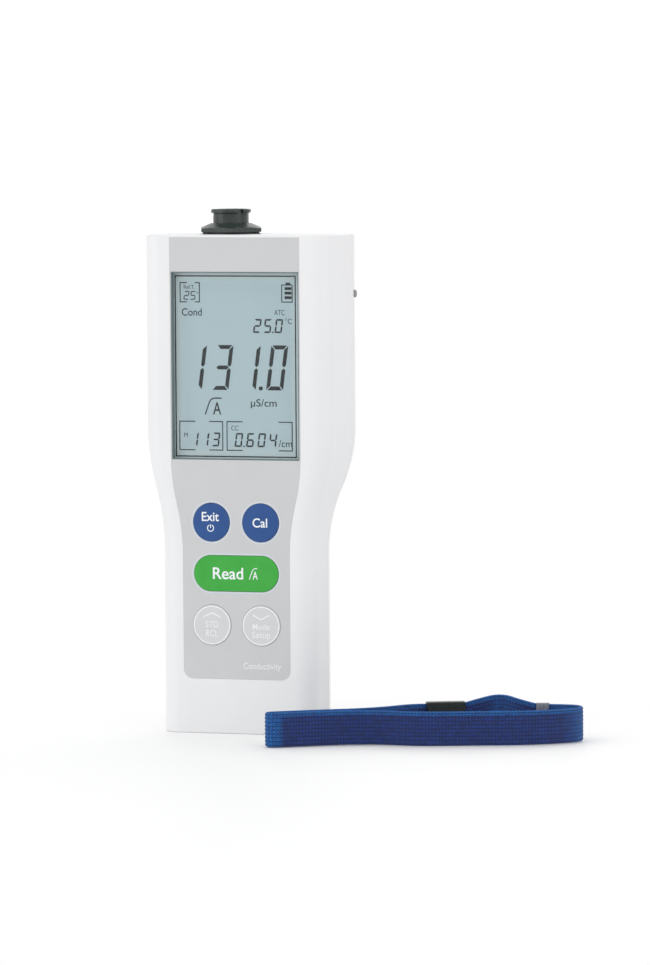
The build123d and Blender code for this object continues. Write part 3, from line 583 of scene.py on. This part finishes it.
def plateau(x, z, scale, width):
    # A rising curve that levels off, the sign of a steady reading.
    line = [(0.0, 0.0), (1.2, 3.2), (1.7, 4.0), (2.5, 4.4), (3.4, 4.4)]
    return stroke([(x + px * scale, z + pz * scale) for px, pz in line], width)


def chevron(x, z, half, rise, width):
    return stroke([(x - half, z), (x, z + rise), (x + half, z)], width)


def makeKeyPrint():
    x, z, front = keyFace("exit_key")
    power = stroke(arc((x - 0.3, z - 2.35), 1.3, 118, 422, 26), 0.36)
    power += stroke([(x - 0.3, z - 2.3), (x - 0.3, z - 0.85)], 0.36)
    words = [{"text": "Exit", "span": (x - 4.0, x + 3.3), "baseline": z + 0.5, "cap": 3.5, "weight": 0.012}]
    printPiece("exit_print", power, words, front, whitePrint, "exit_key")

    x, z, front = keyFace("cal_key")
    words = [{"text": "Cal", "span": (x - 3.3, x + 2.9), "baseline": z - 1.75, "cap": 3.5, "weight": 0.012}]
    printPiece("cal_print", [], words, front, whitePrint, "cal_key")

    x, z, front = keyFace("read_key")
    words = [{"text": "Read", "span": (x - 9.9, x + 3.0), "baseline": z - 2.2, "cap": 4.5, "weight": 0.012},
             {"text": "A", "span": (x + 7.0, x + 9.2), "baseline": z - 2.2, "cap": 3.1, "weight": 0.01}]
    printPiece("read_print", plateau(x + 5.6, z - 2.2, 1.0, 0.34), words, front, whitePrint, "read_key")

    for node, arrow, words in (
            ("up_key", (3.2, 3.6, 1.7), (("STD", 2.7, -0.9, 2.4), ("RCL", 2.6, -4.6, 2.5))),
            ("down_key", (4.3, 3.5, -1.8), (("Mode", 3.6, -1.5, 2.3), ("Setup", 3.9, -4.9, 2.5)))):
        x, z, front = keyFace(node)
        base, half, rise = arrow
        shapes = ring((x, z), 7.6, 0.62) + chevron(x, z + base, half, rise, 0.6)
        lines = [{"text": text, "span": (x - half, x + half), "baseline": z + foot, "cap": cap,
                  "weight": 0.008} for text, half, foot, cap in words]
        printPiece(node.replace("key", "print"), shapes, lines, front, palePrint, node)


def makeLabelPrint():
    halo = []
    for node in ("exit_key", "cal_key"):
        x, z, front = keyFace(node)
        halo += ring((x, z), 8.3, 0.5)
    x, z, front = keyFace("read_key")
    turn = 7.15 + 0.6
    half = 35.8 / 2 - 7.15
    outline = arc((half, z), turn, -90, 90, 30) + arc((-half, z), turn, 90, 270, 30)
    halo += stroke(outline, 0.5, closed=True)
    printPiece("key_halos", halo, [], faceY, haloPrint, "housing", 0.015)
    words = [{"text": "Conductivity", "span": (2.8, 18.7), "baseline": 26.3, "cap": 2.5, "weight": 0.004}]
    printPiece("label_words", [], words, faceY, palePrint, "housing", 0.015)


makeKeyPrint()
makeLabelPrint()
print("keys and label printed")


# ---- strap: knitted tape, its short link and the thin tether

# Lengths in millimetres; bends in radians a metre, from where the painted fold highlight begins to where it
# is full.
tape = {"width": 13.6, "thickness": 1.35, "floor": 0.3, "step": 0.42, "around": 132, "waleWidth": 1.5,
        "stitchPitch": 1.3, "ribDepth": 0.24, "litEdgeBand": 2.0, "stitchRelief": 0.5, "foldWindow": 25,
        "foldHighlightBegins": 32.0, "foldHighlightFull": 102.0}
braid = {"radius": 0.62, "lobes": 5, "lobeDepth": 0.12, "turnsPerMetre": 240.0, "step": 0.45}

tapeRoute = [
    (78.4, -17.5), (72.3, -20.7), (67.2, -32.4), (58.7, -42.9), (46.7, -50.9), (35.2, -59.9),
    (27.6, -65.8), (30.7, -70.1), (36.3, -66.6), (45.2, -59.4), (56.2, -51.6), (69.7, -48.0),
    (82.7, -50.3), (95.2, -47.2), (107.7, -41.7), (121.7, -37.0), (133.7, -29.0), (142.1, -18.0),
    (140.7, -8.6), (133.5, -5.0), (126.2, -6.3),
]
linkRoute = [
    (121.2, -7.3, 0.0), (114.3, -8.2, 1.6), (106.2, -5.7, 3.8), (98.3, -7.5, 1.8), (92.4, -10.5, 0.0),
]
tetherRoute = [
    (76.6, -14.8, 2.6), (71.5, -17.0, 1.3), (63.9, -17.5, 0.8), (55.2, -13.0, 0.8),
    (46.5, -7.2, 1.2), (40.2, -2.4, 3.6), (35.0, -0.85, 5.5), (29.7, -0.85, 5.5),
    (29.7, 2.15, 5.5), (35.0, 2.15, 5.5), (40.6, 1.2, 3.9), (47.3, -3.6, 1.3),
    (55.3, -9.4, 0.8), (63.4, -14.1, 0.8), (70.3, -14.5, 1.3), (75.6, -12.6, 2.6),
]


def routeCurve(name, points):
    # A smooth line with the route's points as its control points.
    curve = bpy.data.curves.new(name, "CURVE")
    curve.dimensions = "3D"
    curve.resolution_u = 24
    spline = curve.splines.new("NURBS")
    spline.points.add(len(points) - 1)
    for point, place in zip(spline.points, points):
        point.co = (place[0] * mm, place[1] * mm, place[2] * mm, 1.0)
    spline.order_u = 3
    spline.use_endpoint_u = True
    holder = bpy.data.objects.new(name, curve)
    scene.collection.objects.link(holder)
    return holder


def routePoints(holder):
    mesh = bpy.data.meshes.new_from_object(holder)
    points = [v.co.copy() for v in mesh.vertices]
    bpy.data.meshes.remove(mesh)
    return points


def newTree(name, inputs):
    tree = bpy.data.node_groups.new(name, "GeometryNodeTree")
    kinds = {"float": "NodeSocketFloat", "int": "NodeSocketInt", "material": "NodeSocketMaterial",
             "geometry": "NodeSocketGeometry"}
    for label, kind in [("Geometry", "geometry"), *inputs]:
        tree.interface.new_socket(label, in_out="INPUT", socket_type=kinds[kind])
    tree.interface.new_socket("Geometry", in_out="OUTPUT", socket_type="NodeSocketGeometry")
    return tree, tree.nodes.new("NodeGroupInput"), tree.nodes.new("NodeGroupOutput")


def capture(tree, geometry, value):
    node = tree.nodes.new("GeometryNodeCaptureAttribute")
    node.capture_items.new("FLOAT", "Value")
    tree.links.new(geometry, node.inputs["Geometry"])
    tree.links.new(value, node.inputs["Value"])
    return node.outputs["Geometry"], node.outputs["Value"]


def storeNumber(tree, geometry, name, value):
    node = addNode(tree, "GeometryNodeStoreNamedAttribute", data_type="FLOAT", domain="POINT",
                   values={"Name": name})
    tree.links.new(geometry, node.inputs["Geometry"])
    tree.links.new(value, node.inputs["Value"])
    return node.outputs["Geometry"]


def sweepRoute(tree, given, step, section):
    # Resamples the route, keeps how far along each point is and sweeps the section along it.
    upright = addNode(tree, "GeometryNodeSetCurveNormal", mode="Z_UP")
    tree.links.new(given.outputs["Geometry"], upright.inputs["Curve"])
    even = addNode(tree, "GeometryNodeResampleCurve", mode="LENGTH")
    tree.links.new(upright.outputs[0], even.inputs["Curve"])
    tree.links.new(step, even.inputs["Length"])
    along = tree.nodes.new("GeometryNodeSplineParameter")
    line, run = capture(tree, even.outputs[0], along.outputs["Length"])
    sweep = addNode(tree, "GeometryNodeCurveToMesh", values={"Fill Caps": True})
    tree.links.new(line, sweep.inputs["Curve"])
    tree.links.new(section, sweep.inputs["Profile Curve"])
    return sweep.outputs[0], run


def closeTree(tree, result, given, geometry):
    solid = tree.nodes.new("GeometryNodeRealizeInstances")
    coat = tree.nodes.new("GeometryNodeSetMaterial")
    tree.links.new(geometry, solid.inputs[0])
    tree.links.new(solid.outputs[0], coat.inputs["Geometry"])
    tree.links.new(given.outputs["Material"], coat.inputs["Material"])
    tree.links.new(coat.outputs[0], result.inputs[0])


def makeTapeTree():
    # Flat tube with rounded edges; its faces swell a little between the wales.
    tree, given, result = newTree("knittedTape", [
        ("Width", "float"), ("Thickness", "float"), ("Step", "float"), ("Around", "int"),
        ("Wale Width", "float"), ("Rib Depth", "float"), ("Material", "material")])
    circle = addNode(tree, "GeometryNodeCurvePrimitiveCircle", mode="RADIUS", values={"Radius": 1.0})
    tree.links.new(given.outputs["Around"], circle.inputs["Resolution"])
    place = tree.nodes.new("GeometryNodeInputPosition")
    split = tree.nodes.new("ShaderNodeSeparateXYZ")
    tree.links.new(place.outputs[0], split.inputs[0])
    angle = maths(tree, "ARCTAN2", split.outputs["Y"], split.outputs["X"])
    tall = maths(tree, "DIVIDE", maths(tree, "ARCSINE", maths(tree, "SINE", angle)), math.pi / 2)
    edge = maths(tree, "POWER", maths(tree, "ABSOLUTE", tall), 7.0)
    bulge = maths(tree, "SQRT", maths(tree, "SUBTRACT", 1.0, maths(tree, "MULTIPLY", edge, edge), clamp=True))
    side = maths(tree, "SIGN", split.outputs["X"])
    halfWidth = maths(tree, "MULTIPLY", given.outputs["Width"], 0.5)
    halfThick = maths(tree, "MULTIPLY", given.outputs["Thickness"], 0.5)
    across = maths(tree, "MULTIPLY", tall, halfWidth)
    phase = maths(tree, "MULTIPLY", maths(tree, "DIVIDE", across, given.outputs["Wale Width"]), 2 * math.pi)
    rib = maths(tree, "MULTIPLY", maths(tree, "COSINE", phase),
                maths(tree, "MULTIPLY", given.outputs["Rib Depth"], 0.5))
    thick = maths(tree, "MULTIPLY", maths(tree, "MULTIPLY", maths(tree, "ADD", halfThick, rib), bulge), side)
    join = tree.nodes.new("ShaderNodeCombineXYZ")
    tree.links.new(thick, join.inputs["X"])
    tree.links.new(across, join.inputs["Y"])
    marked, height = capture(tree, circle.outputs[0], across)
    shape = tree.nodes.new("GeometryNodeSetPosition")
    tree.links.new(marked, shape.inputs["Geometry"])
    tree.links.new(join.outputs[0], shape.inputs["Position"])
    mesh, run = sweepRoute(tree, given, given.outputs["Step"], shape.outputs[0])
    mesh = storeNumber(tree, mesh, "run", run)
    mesh = storeNumber(tree, mesh, "across", height)
    closeTree(tree, result, given, mesh)
    return tree


def makeBraidTree():
    # Round cord of a few strands laid with a steady twist.
    tree, given, result = newTree("laidCord", [
        ("Radius", "float"), ("Lobes", "int"), ("Lobe Depth", "float"), ("Turns", "float"),
        ("Step", "float"), ("Material", "material")])
    circle = addNode(tree, "GeometryNodeCurvePrimitiveCircle", mode="RADIUS",
                     values={"Radius": 1.0, "Resolution": 30})
    place = tree.nodes.new("GeometryNodeInputPosition")
    split = tree.nodes.new("ShaderNodeSeparateXYZ")
    tree.links.new(place.outputs[0], split.inputs[0])
    angle = maths(tree, "ARCTAN2", split.outputs["Y"], split.outputs["X"])
    lobe = maths(tree, "ABSOLUTE", maths(tree, "COSINE", maths(tree, "MULTIPLY", angle, maths(
        tree, "MULTIPLY", given.outputs["Lobes"], 0.5))))
    dip = maths(tree, "MULTIPLY", maths(tree, "SUBTRACT", lobe, 1.0), given.outputs["Lobe Depth"])
    length = maths(tree, "ADD", given.outputs["Radius"], dip)
    grow = addNode(tree, "ShaderNodeVectorMath", operation="SCALE")
    tree.links.new(place.outputs[0], grow.inputs[0])
    tree.links.new(length, grow.inputs["Scale"])
    shape = tree.nodes.new("GeometryNodeSetPosition")
    tree.links.new(circle.outputs[0], shape.inputs["Geometry"])
    tree.links.new(grow.outputs[0], shape.inputs["Position"])
    even = addNode(tree, "GeometryNodeResampleCurve", mode="LENGTH")
    tree.links.new(given.outputs["Geometry"], even.inputs["Curve"])
    tree.links.new(given.outputs["Step"], even.inputs["Length"])
    along = tree.nodes.new("GeometryNodeSplineParameter")
    twist = tree.nodes.new("GeometryNodeSetCurveTilt")
    tree.links.new(even.outputs[0], twist.inputs["Curve"])
    tree.links.new(maths(tree, "MULTIPLY", maths(tree, "MULTIPLY", along.outputs["Length"],
                                                 given.outputs["Turns"]), 2 * math.pi), twist.inputs["Tilt"])
    sweep = addNode(tree, "GeometryNodeCurveToMesh", values={"Fill Caps": True})
    tree.links.new(twist.outputs[0], sweep.inputs["Curve"])
    tree.links.new(shape.outputs[0], sweep.inputs["Profile Curve"])
    closeTree(tree, result, given, sweep.outputs[0])
    return tree


def growPiece(name, holder, tree, values):
    # Runs the tree on the route and keeps the result as a plain mesh.
    modifier = holder.modifiers.new("grow", "NODES")
    modifier.node_group = tree
    for item in tree.interface.items_tree:
        if item.in_out == "INPUT" and item.name in values:
            modifier[item.identifier] = values[item.name]
    bpy.context.view_layer.update()
    mesh = bpy.data.meshes.new_from_object(holder.evaluated_get(bpy.context.evaluated_depsgraph_get()))
    holder.modifiers.remove(modifier)
    mesh.name = name
    solid = bmesh.new()
    solid.from_mesh(mesh)
    bmesh.ops.recalc_face_normals(solid, faces=solid.faces)
    solid.to_mesh(mesh)
    solid.free()
    mesh.shade_smooth()
    piece = bpy.data.objects.new(name, mesh)
    scene.collection.objects.link(piece)
    bpy.data.objects.remove(holder)
    return piece


def markFolds(piece, path):
    # How sharply the tape bends at each vertex, 0 flat to 1 folded; this drives the painted highlight at the
    # folds.
    line = np.array([tuple(p) for p in path])
    step = np.diff(line, axis=0)
    length = np.linalg.norm(step, axis=1)
    run = np.concatenate([[0.0], np.cumsum(length)])
    heading = np.unwrap(np.arctan2(step[:, 1], step[:, 0]))
    bend = np.abs(np.gradient(heading, (run[:-1] + run[1:]) / 2))
    window = np.ones(tape["foldWindow"]) / tape["foldWindow"]
    bend = np.convolve(bend, window, mode="same")
    values = np.zeros(len(piece.data.vertices), np.float32)
    piece.data.attributes["run"].data.foreach_get("value", values)
    at = np.interp(values, (run[:-1] + run[1:]) / 2, bend)
    opened = (at - tape["foldHighlightBegins"]) / (tape["foldHighlightFull"] - tape["foldHighlightBegins"])
    foldHighlight = np.clip(opened, 0.0, 1.0).astype(np.float32)
    piece.data.attributes.new("foldHighlight", "FLOAT", "POINT").data.foreach_set("value", foldHighlight)


def makeKnitMaterial():
    # Royal blue along its upper edge and where the tape folds, a painted highlight where light catches the
    # tape; darker everywhere else.
    material, tree, shader = newMaterial("strap_knit", Sheen_Weight=0.15, Sheen_Roughness=0.4,
                                         Sheen_Tint=(0.35, 0.55, 1.0, 1.0))
    read = {name: addNode(tree, "ShaderNodeAttribute", attribute_name=name).outputs["Fac"]
            for name in ("run", "across", "foldHighlight")}
    pattern = addNode(tree, "ShaderNodeGroup", node_tree=knit,
                      values={"Wale Width": tape["waleWidth"] * mm, "Stitch Pitch": tape["stitchPitch"] * mm})
    tree.links.new(read["run"], pattern.inputs["Run"])
    tree.links.new(read["across"], pattern.inputs["Across"])
    half = tape["width"] * mm / 2
    # Painted highlight: the band along the upper edge and the folds take the lighter royal blue.
    fromTop = maths(tree, "ADD", half, read["across"])
    edge = mapRange(tree, fromTop, tape["litEdgeBand"] * mm, tape["litEdgeBand"] * mm * 0.6)
    place = tree.nodes.new("ShaderNodeTexCoord").outputs["Object"]
    mottle = mapRange(tree, noise(tree, place, 500.0, 4.0), 0.35, 0.65)
    middle = mixColour(tree, mottle, (0.010, 0.028, 0.150), (0.018, 0.046, 0.225))
    litRim = mixColour(tree, mottle, (0.008, 0.090, 0.340), (0.014, 0.135, 0.430))
    colour = mixColour(tree, maths(tree, "MAXIMUM", edge, read["foldHighlight"]), middle, litRim)
    # Painted shade: near-black mixed into the gaps between the stitches.
    gap = maths(tree, "MULTIPLY", pattern.outputs["Painted Gap Shade"], 0.95)
    colour = mixColour(tree, gap, colour, (0.001, 0.003, 0.018))
    tree.links.new(colour, shader.inputs["Base Color"])
    tree.links.new(mapRange(tree, mottle, 0.0, 1.0, 0.78, 0.92), shader.inputs["Roughness"])
    addBump(tree, shader, pattern.outputs["Height"], tape["stitchRelief"] * mm)
    return material


def makeTapePiece(name, route, material, stands):
    height = tape["floor"] + tape["width"] / 2
    holder = routeCurve(name + "_route", [(x, y, height + lift) for x, y, lift in route])
    path = routePoints(holder)
    piece = growPiece(name, holder, tapeTree, {
        "Width": tape["width"] * mm, "Thickness": tape["thickness"] * mm, "Step": tape["step"] * mm,
        "Around": tape["around"], "Wale Width": tape["waleWidth"] * mm,
        "Rib Depth": tape["ribDepth"] * mm, "Material": material})
    markFolds(piece, path)
    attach(piece, "housing")
    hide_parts(stands)
    return piece, path


tapeTree = makeTapeTree()
braidTree = makeBraidTree()
knitMaterial = makeKnitMaterial()
braidMaterial = finish("tether_braid", (0.010, 0.011, 0.012), (0.024, 0.025, 0.027), 0.75, cloud=900.0,
                       grain=5000.0, bump=0.05)
wristLink = makeTapePiece("wrist_link", linkRoute, knitMaterial, "strap_link")[0]
tapeOnFloor = [(x, y, 0.0) for x, y in tapeRoute]
wristTape, tapePath = makeTapePiece("wrist_tape", tapeOnFloor, knitMaterial, "strap_tape")


def makeTether():
    holder = routeCurve("tether_route", tetherRoute)
    path = routePoints(holder)
    piece = growPiece("tether_cord", holder, braidTree, {
        "Radius": braid["radius"] * mm, "Lobes": braid["lobes"], "Lobe Depth": braid["lobeDepth"] * mm,
        "Turns": braid["turnsPerMetre"], "Step": braid["step"] * mm, "Material": braidMaterial})
    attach(piece, "housing")
    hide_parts("strap_tether")


makeTether()
print("strap made")


# ---- floor, light and camera

studio = {"floorFront": -4.0, "bendStart": 3.6, "bendRadius": 1.2, "wallTop": 5.0, "halfWidth": 6.0}


def makeStudio():
    profile = [(studio["floorFront"], 0.0), (studio["bendStart"], 0.0)]
    radius = studio["bendRadius"]
    for i in range(1, 17):
        turn = math.pi / 2 * i / 16
        profile.append((studio["bendStart"] + radius * math.sin(turn), radius * (1 - math.cos(turn))))
    profile.append((profile[-1][0], studio["wallTop"]))
    vertices = [(x, y, z) for y, z in profile for x in (-studio["halfWidth"], studio["halfWidth"])]
    faces = [(2 * i, 2 * i + 1, 2 * i + 3, 2 * i + 2) for i in range(len(profile) - 1)]
    mesh = bpy.data.meshes.new("studio_floor")
    mesh.from_pydata(vertices, [], faces)
    mesh.shade_smooth()
    material, tree, shader = newMaterial("studio_paper")
    place = tree.nodes.new("ShaderNodeTexCoord").outputs["Object"]
    paper = mixColour(tree, noise(tree, place, 3.0), (0.93, 0.93, 0.93), (0.95, 0.95, 0.95))
    tree.links.new(paper, shader.inputs["Base Color"])
    tree.links.new(mapRange(tree, noise(tree, place, 40.0), 0.3, 0.7, 0.55, 0.65), shader.inputs["Roughness"])
    mesh.materials.append(material)
    floor = bpy.data.objects.new("studio_floor", mesh)
    scene.collection.objects.link(floor)


def areaLight(name, place, aim, size, power):
    light = bpy.data.lights.new(name, "AREA")
    light.shape = "RECTANGLE"
    light.size, light.size_y = size
    light.energy = power
    holder = bpy.data.objects.new(name, light)
    holder.location = place
    holder.rotation_euler = (Vector(aim) - Vector(place)).to_track_quat("-Z", "Y").to_euler()
    scene.collection.objects.link(holder)


makeStudio()
world = bpy.data.worlds.new("soft_white")
world.use_nodes = True
world.node_tree.nodes["Background"].inputs["Color"].default_value = (1.0, 1.0, 1.0, 1.0)
world.node_tree.nodes["Background"].inputs["Strength"].default_value = 0.93
scene.world = world
meterMiddle = (0.0, 0.0, 0.10)
areaLight("top_softbox", (-0.2, -0.8, 1.6), meterMiddle, (1.2, 1.2), 2.6)
areaLight("left_softbox", (-1.4, -1.1, 0.4), meterMiddle, (1.2, 1.0), 4.6)
areaLight("right_softbox", (1.6, -0.5, 0.4), meterMiddle, (0.9, 1.0), 2.2)
areaLight("backdrop_light", (0.0, 3.4, 3.0), (0.0, 4.7, 0.9), (4.0, 0.8), 40.0)

view = {"place": (0.8843, -2.4669, 0.262), "target": (0.0337, -0.0095, 0.1008), "lens": 243.0, "roll": -0.38}
camera = bpy.data.objects.new("camera", bpy.data.cameras.new("camera"))
camera.data.lens = view["lens"]
camera.data.sensor_width = 36.0
camera.data.clip_start, camera.data.clip_end = 0.1, 30.0
camera.location = view["place"]
aim = (Vector(view["target"]) - Vector(view["place"])).to_track_quat("-Z", "Y").to_matrix()
camera.rotation_euler = (aim @ Matrix.Rotation(math.radians(view["roll"]), 3, "Z")).to_euler()
scene.collection.objects.link(camera)
scene.camera = camera
print("studio ready")
